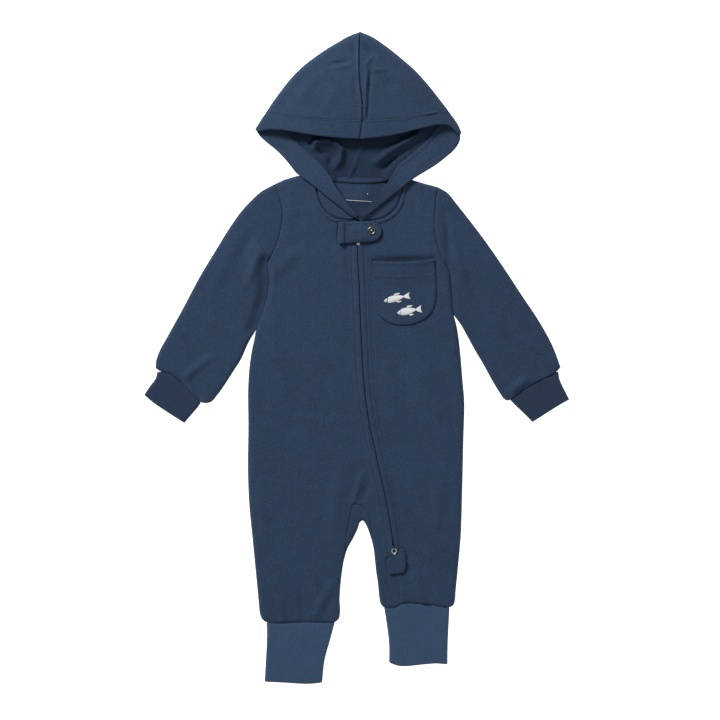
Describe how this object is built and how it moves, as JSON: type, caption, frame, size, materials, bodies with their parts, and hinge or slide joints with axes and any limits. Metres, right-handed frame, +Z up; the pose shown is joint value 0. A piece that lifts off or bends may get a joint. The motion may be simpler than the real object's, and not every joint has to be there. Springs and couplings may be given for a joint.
{
  "type": "hooded zip romper",
  "caption": "Baby's long-sleeved romper with a hood, a curved front zip to one ankle, rib cuffs and a chest pocket, laid out flat.",
  "frame": {"origin": "centre of the garment's outline in plan, on the surface that it lies on", "axes": "+Y towards the peak of the hood, +X towards the wearer's left, +Z up out of the front"},
  "size_m": [0.489, 0.749, 0.017],
  "materials": {
    "jersey": "matt brushed-back sweatshirt jersey",
    "rib": "matt fine rib knit",
    "label": "woven satin tape",
    "tape": "woven zip tape with a plastic coil",
    "metal": "polished nickel"
  },
  "bodies": {
    "garment": {"front_right": "jersey", "front_left": "jersey", "back": "jersey", "crotch_gusset": "jersey", "sleeve_right": "jersey", "sleeve_left": "jersey", "hood_right": "jersey", "hood_left": "jersey", "hood_hem_right": "jersey", "hood_hem_left": "jersey", "hood_corner_right": "jersey", "hood_corner_left": "jersey", "back_neck_tape": "jersey", "pocket": "jersey", "chin_guard": "jersey", "zip_patch": "jersey", "sleeve_cuff_right": "rib", "sleeve_cuff_left": "rib", "leg_cuff_right": "rib", "leg_cuff_left": "rib", "neck_label": "label", "zip_chain": "tape", "snap_ring": "metal", "zip_slider_top": "metal", "zip_slider_low": "metal"},
    "pull": {"zip_pull": "metal"}
  },
  "joints": [
    {"name": "pull_swing", "type": "hinge", "parent": "garment", "child": "pull", "pos_m": [0.0427, -0.2194, 0.0092], "axis": [-0.9923, -0.1242, 0], "range_deg": [0, 150]}
  ]
}
